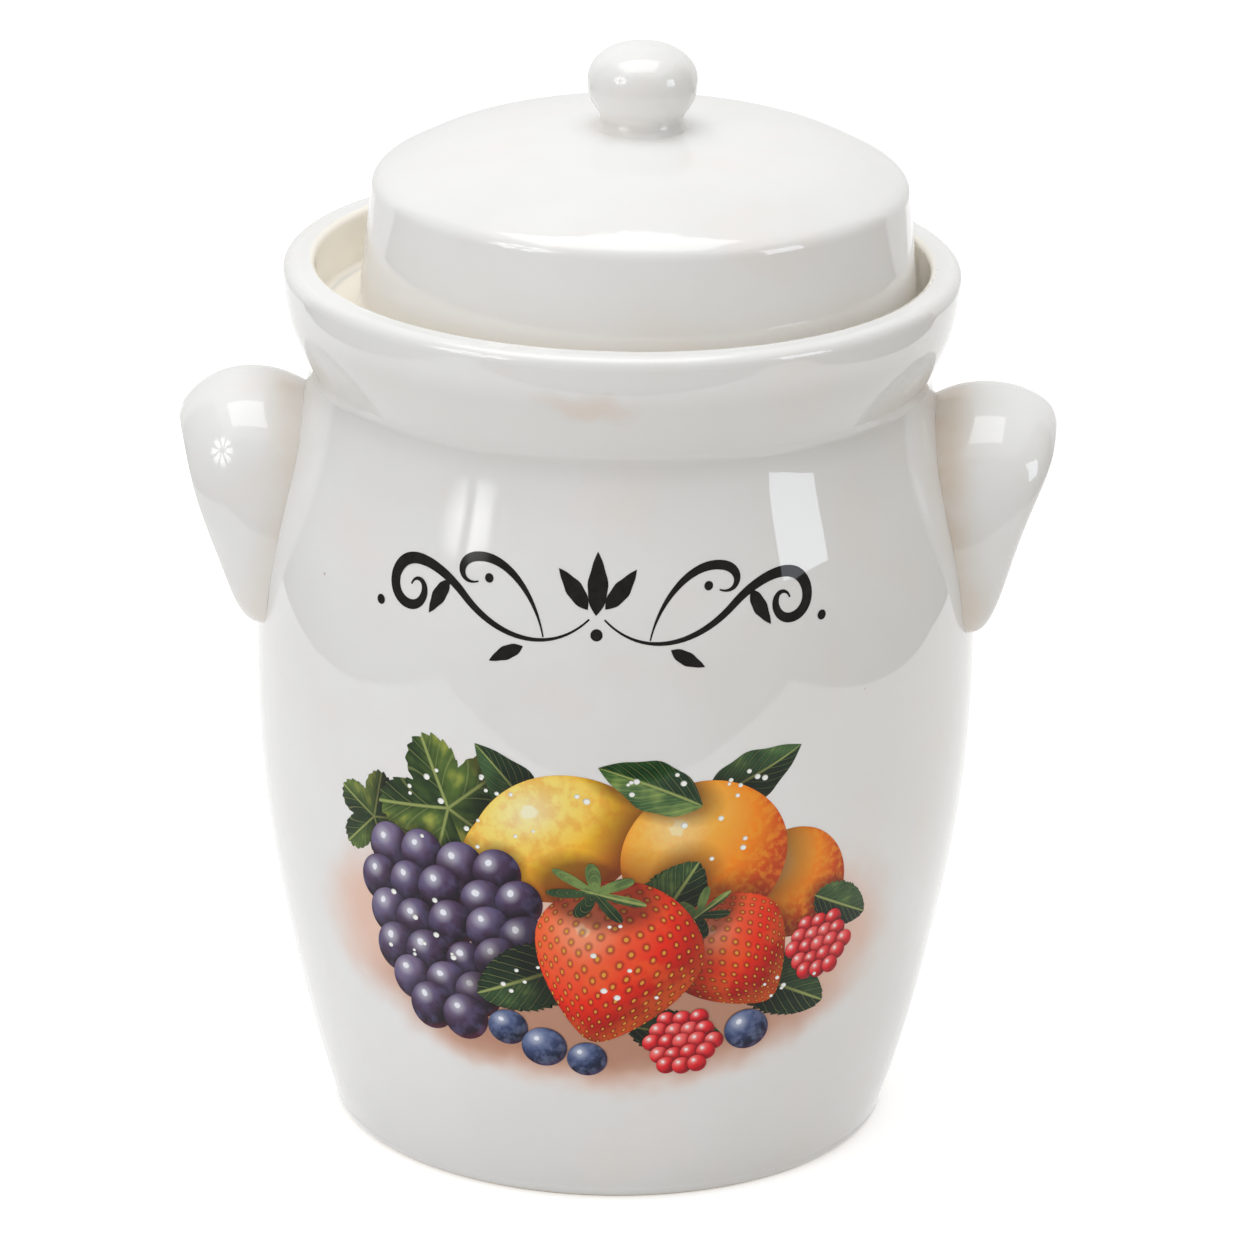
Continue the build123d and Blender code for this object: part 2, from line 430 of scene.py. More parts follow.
def from_axis(tree):
    """How far a place lies from the pot's axis, and how much its surface faces away from it."""
    there = add(tree, "TexCoord")
    flat = measure(tree, "MULTIPLY", there.outputs["Object"], (1, 1, 0))
    outward = measure(tree, "NORMALIZE", flat)
    return measure(tree, "LENGTH", flat), measure(tree, "DOT_PRODUCT", there.outputs["Normal"], outward)


def height_of(tree):
    """Height of a place over the table."""
    return part_of(tree, object_place(tree), "Z")


def on_picture(tree):
    """Place along the wall from the picture's middle, and up from the table, blurred by a soft noise."""
    place = object_place(tree)
    forward = sums(tree, "MULTIPLY", part_of(tree, place, "Y"), -1.0)
    angle = sums(tree, "ARCTAN2", part_of(tree, place, "X"), forward)
    along = sums(tree, "MULTIPLY_ADD", angle, belly_wall, -picture_turn * belly_wall)
    flat = add(tree, "CombineXYZ", inputs={"X": along, "Y": part_of(tree, place, "Z")}).outputs[0]
    centred = measure(tree, "SUBTRACT", noise(tree, halo_noise_size, 2.0).outputs["Color"], (0.5, 0.5, 0))
    return shifted(tree, centred, (halo_raggedness, halo_raggedness, 0), flat)


def crock_colour(tree, colour):
    """White outside, cream inside and where the gallery's glaze lies thin, painted shade on rim band and
    neck, warm round the picture.
    """
    reach, outward = from_axis(tree)
    height = height_of(tree)
    inside = fade(tree, outward, *inside_edge)
    shelf = sums(tree, "MULTIPLY", fade(tree, reach, *gallery_edge), fade(tree, height, *gallery_low))
    cream = sums(tree, "MAXIMUM", inside, shelf)
    # Painted shade: the rim band and neck turn grey where less light reaches them
    neck_shade = sums(tree, "MULTIPLY", fade(tree, height, *neck_low, neck_shade_share), fade(tree, height, *neck_high))
    colour = blend(tree, neck_shade, colour, linear(neck_shade_grey))
    colour = blend(tree, cream, colour, linear(glaze_cream))
    place = on_picture(tree)
    for middle, half, start, share, tint in picture_tints:
        moved = measure(tree, "SUBTRACT", place, (middle[0] * mm, picture_height + middle[1] * mm, 0))
        scaled = measure(tree, "DIVIDE", moved, (half[0] * mm, half[1] * mm, 1))
        glow = fade(tree, measure(tree, "LENGTH", scaled), 1.0, start, share)
        outside = sums(tree, "MULTIPLY", glow, fade(tree, outward, *outside_edge))
        colour = blend(tree, outside, colour, linear(tint))
    return colour


def handle_colour(tree, colour):
    """Painted shade: a patchy cream-tan along the joint with the wall, deeper on the right handle."""
    reach = from_axis(tree)[0]
    wall = sums(tree, "MULTIPLY_ADD", height_of(tree), joint_lean, joint_radius)
    proud = sums(tree, "DIVIDE", reach, wall)
    # Painted shade in the crease: patchy, full on the right handle and weaker on the left
    uneven = sums(tree, "MULTIPLY", speckle(tree, joint_shade_patch_size, *joint_shade_patch_levels), joint_shade_spread)
    right = fade(tree, part_of(tree, object_place(tree), "X"), 0, handle_side, 1 - joint_shade_left)
    joint_shade = sums(tree, "MULTIPLY", sums(tree, "ADD", uneven, joint_shade_least), sums(tree, "ADD", right, joint_shade_left))
    edge = sums(tree, "MULTIPLY", fade(tree, proud, *joint_width), joint_shade)
    return blend(tree, edge, colour, linear(joint_shade_tan))


def lid_colour(tree, colour):
    """Cream under the lid, and a warm breath of it low on the wall and round the knob's foot."""
    reach, outward = from_axis(tree)
    height = height_of(tree)
    inside = fade(tree, outward, *inside_edge)
    low = fade(tree, height, *lid_warm, lid_warm_share)
    near_foot = fade(tree, height, *knob_foot_low, knob_foot_share)
    foot = sums(tree, "MULTIPLY", near_foot, fade(tree, reach, *knob_foot_out))
    cream = sums(tree, "MAXIMUM", sums(tree, "MAXIMUM", inside, low), foot)
    return blend(tree, cream, colour, linear(glaze_warm))


def glazed_stoneware(name, colour_of):
    """Glazed stoneware, dipped and fired: a glassy off-white skin, warmer where thin, a few specks, and any
    painted shade from colour_of.
    """
    material, tree, surface = finish(name)
    colour = blend(tree, speckle(tree, cloud_size, *cloud_levels), linear(glaze_cloud), linear(glaze_white))
    blush = sums(tree, "MULTIPLY", speckle(tree, blush_size, *blush_levels, 3.0), blush_share)
    colour = blend(tree, blush, colour, linear(glaze_blush))
    colour = colour_of(tree, colour)
    spots = add(tree, "TexVoronoi", inputs={"Vector": object_place(tree), "Scale": 1 / speck_spacing})
    chosen = fade(tree, part_of(tree, spots.outputs["Color"], "X"), *specks_kept)
    speck = sums(tree, "MULTIPLY", fade(tree, spots.outputs["Distance"], *speck_edge, speck_share), chosen)
    colour = blend(tree, speck, colour, linear(glaze_speck))
    bare = fade(tree, height_of(tree), *bare_foot)
    colour = blend(tree, bare, colour, linear(bare_clay))
    dull = sums(tree, "MULTIPLY_ADD", bare, clay_dullness, glaze_roughness)
    skin = add(tree, "BsdfPrincipled", inputs={
        "Base Color": colour, "Roughness": dull, "IOR": glaze_index, "Normal": glaze_waves(tree),
    })
    tree.links.new(skin.outputs[0], surface)
    return material


crock_glaze = glazed_stoneware("glazed_stoneware_crock", crock_colour)
handle_glaze = glazed_stoneware("glazed_stoneware_handle", handle_colour)
lid_glaze = glazed_stoneware("glazed_stoneware_lid", lid_colour)
node_glazes = {
    "crock_body": crock_glaze, "handle_left": handle_glaze, "handle_right": handle_glaze,
    "lid": lid_glaze, "lid_knob": lid_glaze,
}
for name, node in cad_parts.items():
    node.data.materials.clear()
    node.data.materials.append(node_glazes[name])


# Fired print on the front: drawn flat in millimetres about its own middle, then laid round the wall

print_lift = 0.03 * mm
layer_step = 0.008 * mm
heading_turn = radians(-3)
heading_height = 176 * mm
ring_step = 1.5 * mm
mark_grain = 1.25
shadow_reach = 1.45
shadow_depth = 0.5
bezier_steps = 24
stroke_swell = 1.4


def outer_profile():
    """Heights and radii of the rings of the crock's outer wall, read from its mesh."""
    rings = {}
    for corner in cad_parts["crock_body"].data.vertices:
        radius = hypot(corner.co.x, corner.co.y)
        if corner.normal.x * corner.co.x + corner.normal.y * corner.co.y > radius / 2:
            rings[round(corner.co.z / ring_step)] = (corner.co.z, radius)
    return [rings[key] for key in sorted(rings)]


profile = outer_profile()
ring_heights = [height for height, radius in profile]


def wall_radius(height):
    """Radius of the outer wall at a height, on a smooth curve through the rings of its mesh."""
    place = min(max(bisect(ring_heights, height), 2), len(profile) - 2)
    (z0, r0), (z1, r1), (z2, r2), (z3, r3) = profile[place - 2:place + 2]
    span = z2 - z1
    share = (height - z1) / span
    slope1 = (r2 - r0) / (z2 - z0) * span
    slope2 = (r3 - r1) / (z3 - z1) * span
    bend = share * share * (3 - 2 * share)
    return r1 + (r2 - r1) * bend + slope1 * share * (1 - share) ** 2 - slope2 * share ** 2 * (1 - share)


class Drawing:
    """A flat drawing of overlapping marks of one ink."""

    def __init__(self):
        self.form = bmesh.new()
        self.notes(self.form)

    def notes(self, form):
        """What each corner remembers: its place in its mark, also as the light sees it, tone and shadow."""
        made = form.verts.layers
        places = [made.float_vector.new(name) for name in ("own_place", "lit_place")]
        return places + [made.float.new(name) for name in ("tone", "shadow")]

    def lay(self, flat, layer, bend, tone, darkness):
        """Bends a flat piece of mesh, notes where its corners were, and adds it to the drawing."""
        own, lit, shade, shadow = self.notes(flat)
        for corner in flat.verts:
            across, up = corner.co.x, corner.co.y
            place, turned = bend(across, up)
            corner[own] = (across, up, 0)
            corner[lit] = (*turned, 0)
            corner[shade] = tone
            corner[shadow] = darkness(place)
            corner.co = (*(place * mm), layer * layer_step)
        made = bpy.data.meshes.new("mark")
        flat.to_mesh(made)
        flat.free()
        self.form.from_mesh(made)
        bpy.data.meshes.remove(made)

    def add_mark(self, mark, layer, darkness):
        """A mark: a disc of rings that is bent to its shape, sized, turned and set in place."""
        disc = bmesh.new()
        rings = ceil(max(mark.half) / mark_grain) + 1
        spoke = [disc.verts.new((ring / rings, 0, 0)) for ring in range(rings + 1)]
        edges = [disc.edges.new(pair) for pair in zip(spoke, spoke[1:])]
        steps = ceil(2 * pi * rings * (2 if mark.shape in jagged_shapes else 1))
        bmesh.ops.spin(disc, geom=spoke + edges, axis=(0, 0, 1), angle=2 * pi, steps=steps, use_merge=True)
        bmesh.ops.remove_doubles(disc, verts=disc.verts, dist=0.001)
        turning = Matrix.Rotation(radians(mark.turn), 2)

        def bend(across, up):
            bent = mark.shape(across, up)
            flat = Vector((bent[0] * mark.half[0], bent[1] * mark.half[1]))
            return Vector(mark.place) + turning @ flat, turning @ Vector((across, up))

        self.lay(disc, layer, bend, mark.tone, darkness)

    def add_stroke(self, path, widths, layer):
        """A pen stroke: a strip of mesh bent along a path."""
        strip = bmesh.new()
        last = len(path) - 1
        bmesh.ops.create_grid(strip, x_segments=last, y_segments=2, size=1)

        def bend(along, side):
            number = round((along + 1) / 2 * last)
            heading = (path[min(number + 1, last)] - path[max(number - 1, 0)]).normalized()
            return path[number] + Vector((-heading.y, heading.x)) * side * widths[number] / 2, (along, side)

        self.lay(strip, layer, bend, 0.5, lambda place: 0)

    def fire_on(self, name, material, turn, height):
        """Lays the drawing round the crock as a finished piece, which moves with it: X runs along, Y up."""
        for corner in self.form.verts:
            across, up, lift = corner.co
            radius = wall_radius(height + up)
            angle = turn + across / radius
            radius += print_lift + lift
            corner.co = (radius * sin(angle), -radius * cos(angle), height + up)
        bmesh.ops.recalc_face_normals(self.form, faces=self.form.faces)
        mesh = bpy.data.meshes.new(name)
        self.form.to_mesh(mesh)
        self.form.free()
        for face in mesh.polygons:
            if face.normal.x * face.center.x + face.normal.y * face.center.y < 0:
                face.flip()
            face.use_smooth = True
        mesh.materials.append(material)
        piece = bpy.data.objects.new(name, mesh)
        bpy.context.collection.objects.link(piece)
        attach(piece, "crock")


def near(one, other):
    """Whether two marks may touch."""
    return (Vector(one.place) - Vector(other.place)).length < max(one.half) + shadow_reach * max(other.half)


def fire_marks(marks, inks, turn, height):
    """Lays marks over one another, each in the soft shadow of those in front, one piece for each ink."""
    drawings = {ink: Drawing() for ink in inks}
    layers = []
    for number, mark in enumerate(marks):
        under = [layer for other, layer in zip(marks, layers) if near(other, mark)]
        layers.append(1 + max(under, default=0))
        front = [other for other in marks[number + 1:] if near(mark, other) and other.ink != "dew"]

        def darkness(place):
            """How deep a place lies in the soft shadow of the marks in front."""
            deepest = 0
            for other in front:
                away = Matrix.Rotation(-radians(other.turn), 2) @ (place - Vector(other.place))
                reach = hypot(away.x / other.half[0], away.y / other.half[1])
                deepest = max(deepest, min((shadow_reach - reach) / shadow_depth, 1))
            return deepest

        drawings[mark.ink].add_mark(mark, layers[-1], darkness)
    for ink, drawing in drawings.items():
        drawing.fire_on("print_" + ink, inks[ink], turn, height)


def curve_through(*points):
    """A smooth path through bezier points, each given as knot, handle, handle, knot and so on."""
    path = []
    knots = [Vector((*point, 0)) for point in points]
    for start in range(0, len(knots) - 1, 3):
        stretch = interpolate_bezier(*knots[start:start + 4], bezier_steps)
        path += stretch[1:] if path else stretch
    return [point.to_2d() for point in path]


def swelling(path, thin, thick):
    """Widths of a pen stroke that swells in its middle and thins to its ends."""
    last = len(path) - 1
    return [thin + (thick - thin) * sin(pi * number / last) ** stroke_swell for number in range(last + 1)]


# Shapes that bend a unit disc

def round_shape(across, up):
    """A round berry."""
    return across, up


def tangerine_shape(across, up):
    """A round fruit, flattened a little at its ends."""
    return across, up * (0.93 - 0.05 * across * across)


def lemon_shape(across, up):
    """An oval with a nipple at each end."""
    reach = max(0, abs(across) - 0.78) / 0.22
    nipple = 0.17 * reach * reach * (3 - 2 * reach)
    return across + (nipple if across > 0 else -0.6 * nipple), up * (1 - 0.12 * across * across)


def strawberry_shape(across, up):
    """A blunt cone that hangs from broad shoulders."""
    taper = 1 + 0.34 * up - 0.16 * up * up
    return across * taper, up - 0.16 * across * across * max(0, up)


def blade_shape(across, up):
    """A pointed leaf, widest before its middle, with a wavy edge."""
    width = max(0, 1 - across * across) ** 0.42 * (1 - 0.28 * across)
    return across, up * width * (1 + 0.05 * sin(9 * across + 1)) + 0.10 * across * across


def toothed_shape(across, up):
    """A broad leaflet with a sawn edge."""
    width = max(0, 1 - across * across) ** 0.15 * (1 - 0.12 * across)
    edge = hypot(across, up) ** 8
    tooth = (across * 7.5) % 1 - 0.5
    return across + 0.05 * edge * tooth, up * width * (1 - 0.13 * edge * tooth)


def vine_shape(across, up):
    """A five-lobed leaf with a sawn edge, its stalk at the bottom."""
    angle = atan2(up, across) - pi / 2
    reach = 0.56 + 0.44 * abs(cos(vine_lobes / 2 * angle)) ** 0.8
    edge = hypot(across, up) ** 8
    reach *= 1 + 0.07 * edge * (((angle / pi * 22) % 1) - 0.5)
    return across * reach, up * reach


def sepals_shape(across, up):
    """A star of seven narrow sepals."""
    angle = atan2(up, across)
    reach = 0.26 + 0.74 * abs(cos(3.5 * angle)) ** 1.7
    return across * reach, up * reach


jagged_shapes = (toothed_shape, vine_shape, sepals_shape)


# Printed colours

print_shine = 0.2
print_shade = 0.74
painted_light = Vector((-0.45, 0.55, 0.70)).normalized()
painted_dark = -0.35
fruit_tone_spread = 0.26
patch_levels = (0.44, 0.62)
glow_middle = (-0.18, 0.22, 0)
glow_edge = (0.95, 1.22)
glow_share = 0.5
sheen_middle = (-0.36, 0.40, 0)
sheen_edge = (0.50, 0.05)
sheen_share = 0.4
glint_middle = (-0.27, 0.50, 0)
glint_inner = 0.6
glint_ripple = (0.16, 0.16, 0)
glint_ripple_size = 3 * mm
seeds_across = (5.2, 4.6)
seed_crowding = 0.45
seed_unevenness = 0.25
seed_pit = (0.42, 0.16)
seed_pit_share = 0.55
seed_edge = (0.17, 0.10)
vine_lobes = 5
vine_fold = (-0.5, 0.5, 0.5)
blade_fold = (-0.15, 0.15, 0.4)
vein_slant = -0.8
vein_count = 4.2
vein_puff = 0.35
vein_edge = (0.09, 0.0)
vein_share = 0.45
rib_edge = (0.075, 0.02)
all_veins_share = 0.8
mottle_size = 7 * mm
mottle_levels = (0.25, 0.75)
mottle_share = 0.45
leaf_least = 0.02
leaf_tone_spread = 0.5
drop_middle = (0.12, -0.14, 0)
drop_rim = (0.55, 1.05)
drop_rim_share = 0.6
ink_patch_size = 3 * mm


def noted(tree, name, output="Fac"):
    """What the corners of a mark remember under a name."""
    return add(tree, "Attribute", {"attribute_name": name}).outputs[output]


def print_skin(name, colour_of):
    """Fired transfer print: enamel colours sunk into the glaze, which shine less than the bare glaze."""
    material, tree, surface = finish(name)
    colour = colour_of(tree)
    shade = sums(tree, "MULTIPLY", noted(tree, "shadow"), print_shade)
    colour = blend(tree, shade, colour, linear("#5C3626"), "MULTIPLY")
    skin = add(tree, "BsdfPrincipled", inputs={
        "Base Color": colour, "Roughness": glaze_roughness, "IOR": glaze_index,
        "Specular IOR Level": print_shine, "Normal": glaze_waves(tree),
    })
    tree.links.new(skin.outputs[0], surface)
    return material


def painted_round(tree):
    """The painted shade of a round fruit, from 0 to 1."""
    place = noted(tree, "lit_place", "Vector")
    rise = sums(tree, "SQRT", sums(tree, "SUBTRACT", 1.0, measure(tree, "DOT_PRODUCT", place, place)))
    lifted = add(tree, "CombineXYZ", inputs={"Z": rise}).outputs[0]
    normal = measure(tree, "ADD", place, lifted)
    shade = fade(tree, measure(tree, "DOT_PRODUCT", normal, painted_light), painted_dark, 1.0, kind="LINEAR")
    moved = sums(tree, "MULTIPLY_ADD", noted(tree, "tone"), fruit_tone_spread, -fruit_tone_spread / 2)
    return sums(tree, "ADD", shade, moved)


def fruit_colour(tree, stops, patch, patch_size, patch_share, shine, shine_size, glow):
    """A painted round fruit: shade, patches of a second colour, a glow from below, a sheen and a glint."""
    colour = add(tree, "ValToRGB", inputs={"Fac": painted_round(tree)}, stops=stops).outputs["Color"]
    patches = sums(tree, "MULTIPLY", speckle(tree, patch_size, *patch_levels, 3.0), patch_share)
    colour = blend(tree, patches, colour, linear(patch))
    place = noted(tree, "lit_place", "Vector")
    low = fade(tree, measure(tree, "DISTANCE", place, glow_middle), *glow_edge, glow_share)
    colour = blend(tree, low, colour, linear(glow))
    sheen = fade(tree, measure(tree, "DISTANCE", place, sheen_middle), *sheen_edge, sheen_share)
    colour = blend(tree, sheen, colour, linear(shine))
    ripple = noise(tree, glint_ripple_size, 1.0).outputs["Color"]
    moved = shifted(tree, ripple, glint_ripple, place)
    away = measure(tree, "DISTANCE", moved, glint_middle)
    glint = fade(tree, away, shine_size, shine_size * glint_inner)
    return blend(tree, glint, colour, linear(shine))


def strawberry_colour(tree):
    """Red with sunken yellow seeds in staggered rows."""
    colour = fruit_colour(
        tree, ((0.0, "#4E0401"), (0.34, "#B81003"), (0.64, "#F62A0A"), (1.0, "#FF7040")),
        "#FF7E30", 9 * mm, 0.3, "#FFC49C", 0.09, "#F0561E",
    )
    place = noted(tree, "own_place", "Vector")
    crowd = sums(tree, "MULTIPLY_ADD", measure(tree, "DOT_PRODUCT", place, place), seed_crowding, 1.0)
    spread = add(tree, "VectorMath", {"operation": "SCALE"}, {0: place, "Scale": crowd}).outputs[0]
    rows = add(tree, "Mapping", inputs={
        "Vector": spread, "Rotation": (0, 0, radians(45)), "Scale": (*seeds_across, 1),
    })
    cells = add(tree, "TexVoronoi", {"voronoi_dimensions": "2D"}, {
        "Vector": rows.outputs[0], "Scale": 1.0, "Randomness": seed_unevenness,
    }).outputs["Distance"]
    colour = blend(tree, fade(tree, cells, *seed_pit, seed_pit_share), colour, linear("#5A0604"))
    return blend(tree, fade(tree, cells, *seed_edge), colour, linear("#E8A83A"))


def leaf_colour(tree, stops, spokes):
    """A fold along the rib, pale veins and a mottled green."""
    place = noted(tree, "own_place", "Vector")
    split = add(tree, "SeparateXYZ", inputs={0: place})
    along, side = split.outputs["X"], split.outputs["Y"]
    if spokes:
        run = measure(tree, "LENGTH", place)
        angle = sums(tree, "MULTIPLY", sums(tree, "ARCTAN2", along, side), vine_lobes / 2)
        side = sums(tree, "MULTIPLY", sums(tree, "SINE", angle), run)
        fold = fade(tree, side, *vine_fold, "LINEAR")
    else:
        run = along
        fold = fade(tree, side, *blade_fold, "LINEAR")
    rib = sums(tree, "ABSOLUTE", side)
    comb = sums(tree, "MULTIPLY", sums(tree, "MULTIPLY_ADD", rib, vein_slant, run), vein_count)
    ripple = sums(tree, "PINGPONG", comb, 0.5)
    mottle = speckle(tree, mottle_size, *mottle_levels)
    patches = sums(tree, "MULTIPLY_ADD", mottle, mottle_share, leaf_least)
    puffed = sums(tree, "MULTIPLY_ADD", ripple, vein_puff, patches)
    moved = sums(tree, "MULTIPLY_ADD", noted(tree, "tone"), leaf_tone_spread, -leaf_tone_spread / 2)
    shade = sums(tree, "ADD", sums(tree, "ADD", fold, puffed), moved)
    colour = add(tree, "ValToRGB", inputs={"Fac": shade}, stops=stops).outputs["Color"]
    side_veins = fade(tree, ripple, *vein_edge, vein_share)
    veins = sums(tree, "MAXIMUM", fade(tree, rib, *rib_edge), side_veins)
    return blend(tree, sums(tree, "MULTIPLY", veins, all_veins_share), colour, linear("#A9B468"))


def dew_colour(tree):
    """A drop of water: a pale bead with a darker rim."""
    place = noted(tree, "lit_place", "Vector")
    rim = fade(tree, measure(tree, "DISTANCE", place, drop_middle), *drop_rim, drop_rim_share)
    return blend(tree, rim, linear("#FFFFFA"), linear("#8E9784"))


def ink_colour(tree):
    """One dense, slightly soft black enamel."""
    return blend(tree, speckle(tree, ink_patch_size, 0.3, 0.8), linear("#201F1E"), linear("#2D2B29"))


fruit_looks = {
    "lemon": (
        ((0.0, "#9C3E0A"), (0.28, "#E38A18"), (0.60, "#FFC62E"), (1.0, "#FFEC86")),
        "#EE8E28", 3.5 * mm, 0.4, "#FFF8D0", 0.13, "#E87C28",
    ),
    "tangerine": (
        ((0.0, "#7E2203"), (0.32, "#DC5206"), (0.62, "#FF8E12"), (1.0, "#FFC652")),
        "#FFAA2C", 1.8 * mm, 0.5, "#FFE8B0", 0.12, "#F0561C",
    ),
    "grape": (
        ((0.0, "#0C060E"), (0.42, "#2A1830"), (0.75, "#4C3654"), (1.0, "#807090")),
        "#66618C", 4 * mm, 0.4, "#F4F5FC", 0.17, "#6C2440",
    ),
    "blueberry": (
        ((0.0, "#070A16"), (0.4, "#19213C"), (0.75, "#37456E"), (1.0, "#7281AA")),
        "#8794BC", 2.5 * mm, 0.35, "#EEF2FC", 0.16, "#4A3058",
    ),
    "raspberry": (
        ((0.0, "#420208"), (0.33, "#A40816"), (0.68, "#EA1826"), (1.0, "#FF6A66")),
        "#F2404A", 3 * mm, 0.25, "#FFECE8", 0.22, "#E8303A",
    ),
}
leaf_looks = {
    "vine_leaf": (((0.0, "#10190B"), (0.4, "#2A421C"), (0.75, "#587030"), (1.0, "#A8AE4C")), True),
    "blade_leaf": (((0.0, "#0E1A10"), (0.4, "#203C22"), (0.75, "#42663A"), (1.0, "#8CA45A")), False),
    "toothed_leaf": (((0.0, "#0C160E"), (0.4, "#1C331C"), (0.75, "#3A5830"), (1.0, "#7C9550")), False),
}


def picture_inks():
    """The printed colour of every kind of mark in the picture."""
    inks = {}
    for name, look in leaf_looks.items():
        inks[name] = print_skin("fired_print_" + name, lambda tree: leaf_colour(tree, *look))
    for name, look in fruit_looks.items():
        inks[name] = print_skin("fired_print_" + name, lambda tree: fruit_colour(tree, *look))
    inks["strawberry"] = print_skin("fired_print_strawberry", strawberry_colour)
    inks["dew"] = print_skin("fired_print_dew", dew_colour)
    return inks


# What the print shows: fruit in a heap, and a penned flourish over it

Mark = namedtuple("Mark", "ink shape place half turn tone")
grape_rows = ((-56, 11, 4), (-60, 1.5, 5), (-57.5, -8, 5), (-54, -17.5, 4), (-49, -26.5, 3), (-43, -35, 2))
grape_step = 10.4
grape_push = 2.6
grape_size = 6.8
grape_size_spread = 0.9
grape_length = 1.06
grape_turn = 30
grain_size = 2.7
grain_row = 3.7
grain_step = 1.15
grain_push = 0.8
drop_size = 0.75
drop_size_spread = 0.5
drop_flatness = 0.9


def scatter(number):
    """A steady, uneven offset from -0.5 to 0.5 for the number of a mark."""
    return (sin(number * 12.9898 + 4.1) * 43758.5453) % 1 - 0.5


def grape_bunch():
    """Grapes in rows that narrow downwards, each pushed a little out of its row."""
    grapes = []
    for start, up, count in grape_rows:
        for step in range(count):
            number = len(grapes)
            across = start + step * grape_step + grape_push * scatter(number)
            place = (across, up + grape_push * scatter(number + 40))
            size = grape_size + grape_size_spread * scatter(number + 80)
            half = (size, size * grape_length)
            turn = grape_turn * scatter(number + 9)
            grapes.append(Mark("grape", round_shape, place, half, turn, 0.5 + scatter(number + 7)))
    return grapes


def raspberry(middle, radius):
    """A raspberry of small round grains in staggered rows."""
    grains = []
    rows = int(radius / grain_row)
    for row in range(-rows, rows + 1):
        for step in range(-rows - 1, rows + 2):
            number = 11 * row + step
            across = (step + row % 2 / 2) * grain_row * grain_step + grain_push * scatter(number)
            up = -row * grain_row + grain_push * scatter(number + 40)
            if hypot(across, up * 0.9) < radius:
                place = (middle[0] + across, middle[1] + up)
                half = (grain_size, grain_size)
                grains.append(Mark("raspberry", round_shape, place, half, 0, 0.5 + scatter(number + 7)))
    return grains


def dewdrops(middle, reach, count):
    """Small drops scattered over a leaf or a fruit."""
    drops = []
    for number in range(count):
        seed = number + round(middle[0]) * 3
        place = (middle[0] + 2 * reach[0] * scatter(seed), middle[1] + 2 * reach[1] * scatter(seed + 31))
        size = drop_size + drop_size_spread * scatter(seed + 17)
        drops.append(Mark("dew", round_shape, place, (size, size * drop_flatness), 0, 0.5))
    return drops


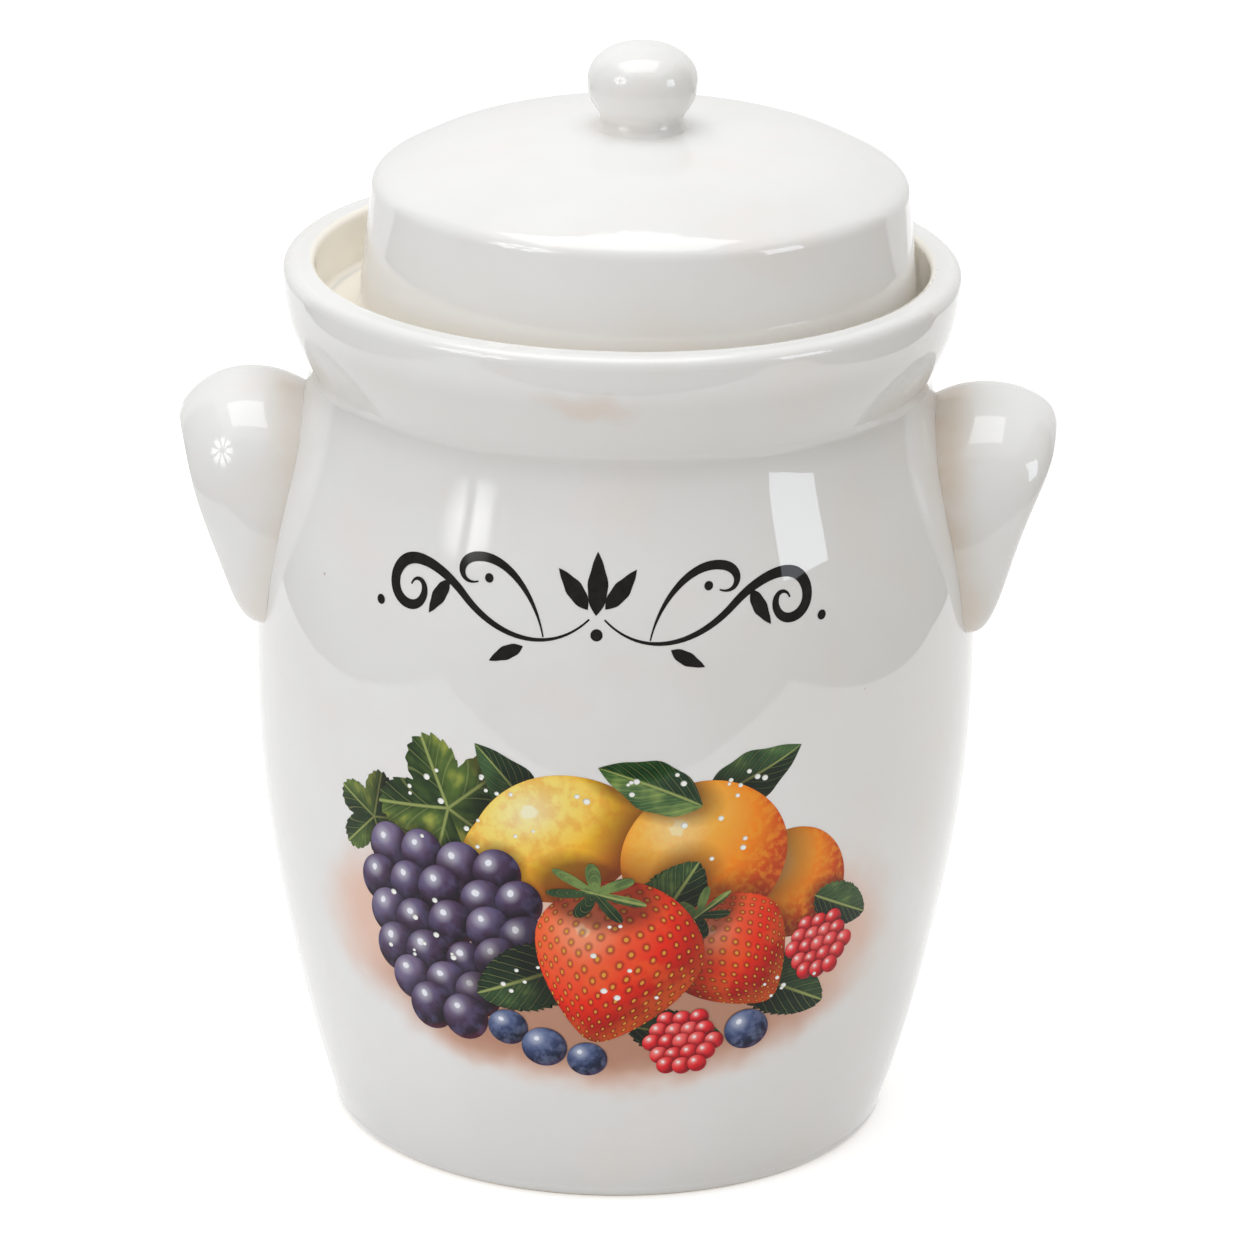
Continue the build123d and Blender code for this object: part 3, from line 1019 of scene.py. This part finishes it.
def fruit_picture():
    """The marks of the picture, from the back of the heap to its front."""
    return [
        Mark("vine_leaf", vine_shape, (-62, 19), (14, 13), 62, 0.25),
        Mark("vine_leaf", vine_shape, (-38, 27), (22, 21), 24, 0.45),
        Mark("blade_leaf", blade_shape, (-20, 36), (15, 6.5), 132, 0.3),
        Mark("lemon", lemon_shape, (-8, 22), (24, 18), 19, 0.5),
        Mark("tangerine", tangerine_shape, (57, 6), (17, 17.5), -20, 0.25),
        Mark("toothed_leaf", toothed_shape, (73, -4), (10, 6.5), -28, 0.4),
        Mark("blade_leaf", blade_shape, (45, 39), (15, 7), 24, 0.35),
        Mark("tangerine", tangerine_shape, (32, 17), (23, 23.5), 8, 0.6),
        Mark("blade_leaf", blade_shape, (17, 38), (15, 7), 158, 0.65),
        *grape_bunch(),
        Mark("toothed_leaf", toothed_shape, (-15, -20), (16, 10), 205, 0.3),
        Mark("toothed_leaf", toothed_shape, (22, 3), (15, 9.5), 58, 0.5),
        Mark("toothed_leaf", toothed_shape, (54, -25), (16, 9), -30, 0.35),
        Mark("toothed_leaf", toothed_shape, (24, -36), (13, 7), -12, 0.25),
        Mark("strawberry", strawberry_shape, (40, -13), (17, 19), 36, 0.35),
        Mark("toothed_leaf", sepals_shape, (30, 0), (11, 7), 36, 0.75),
        Mark("strawberry", strawberry_shape, (8, -14), (22, 25), -14, 0.6),
        Mark("toothed_leaf", sepals_shape, (2.5, 7), (14, 8.5), -14, 0.85),
        Mark("blueberry", round_shape, (-21, -36), (5.6, 5.4), 0, 0.4),
        *raspberry((66, -15), 9),
        *raspberry((26, -39), 10),
        Mark("blueberry", round_shape, (44, -37), (6.4, 6.2), 0, 0.5),
        Mark("blueberry", round_shape, (-11, -41), (6.2, 6.0), 0, 0.6),
        Mark("blueberry", round_shape, (0.5, -44), (5.4, 5.2), 0, 0.35),
        *dewdrops((-38, 27), (13, 11), 12),
        *dewdrops((45, 39), (9, 3), 6),
        *dewdrops((17, 38), (9, 3), 6),
        *dewdrops((30, 22), (13, 12), 6),
        *dewdrops((-12, 26), (14, 9), 6),
        *dewdrops((-44, -8), (14, 18), 10),
        *dewdrops((8, -16), (12, 14), 7),
        *dewdrops((56, -25), (9, 4), 6),
        *dewdrops((-17, -21), (8, 5), 5),
    ]


flourish_strokes = (
    (0.5, 3.0, (
        (2, -3), (12, -13), (26, -10), (36, 0), (43, 7), (54, 10), (57, 2),
        (59, -5), (50, -8), (48, -2), (47, 2), (51, 3), (52, 0),
    )),
    (0.4, 2.4, ((14, -8.3), (16, 2), (24, 12), (33, 10), (39, 8.5), (37, 2), (32, 4))),
)
flourish_leaves = (
    ((6.2, 4.6), (6.4, 2.2), 52),
    ((24, -13.5), (5.2, 1.8), -28),
    ((43.5, -1.5), (5.6, 1.9), -58),
)
flourish_dots = (((62, -6), 1.3), ((29, 5.2), 1.2))


def flourish():
    """A penned flourish, the same to the left and to the right, in place of a heading."""
    pen = Drawing()
    marks = [
        Mark("black", blade_shape, (0, 6), (8, 2.6), 90, 0.5),
        Mark("black", round_shape, (0, -7), (1.6, 1.6), 0, 0.5),
    ]
    layer = 0
    for side in (1, -1):
        for thin, thick, points in flourish_strokes:
            layer += 1
            path = curve_through(*((side * across, up) for across, up in points))
            pen.add_stroke(path, swelling(path, thin, thick), layer)
        for (across, up), half, turn in flourish_leaves:
            mirrored = turn if side > 0 else 180 - turn
            marks.append(Mark("black", blade_shape, (side * across, up), half, mirrored, 0.5))
        for (across, up), radius in flourish_dots:
            marks.append(Mark("black", round_shape, (side * across, up), (radius, radius), 0, 0.5))
    for mark in marks:
        pen.add_mark(mark, layer + 1, lambda place: 0)
    black = print_skin("fired_print_black", ink_colour)
    pen.fire_on("print_flourish", black, heading_turn, heading_height)


fire_marks(fruit_picture(), picture_inks(), picture_turn, picture_height)
flourish()
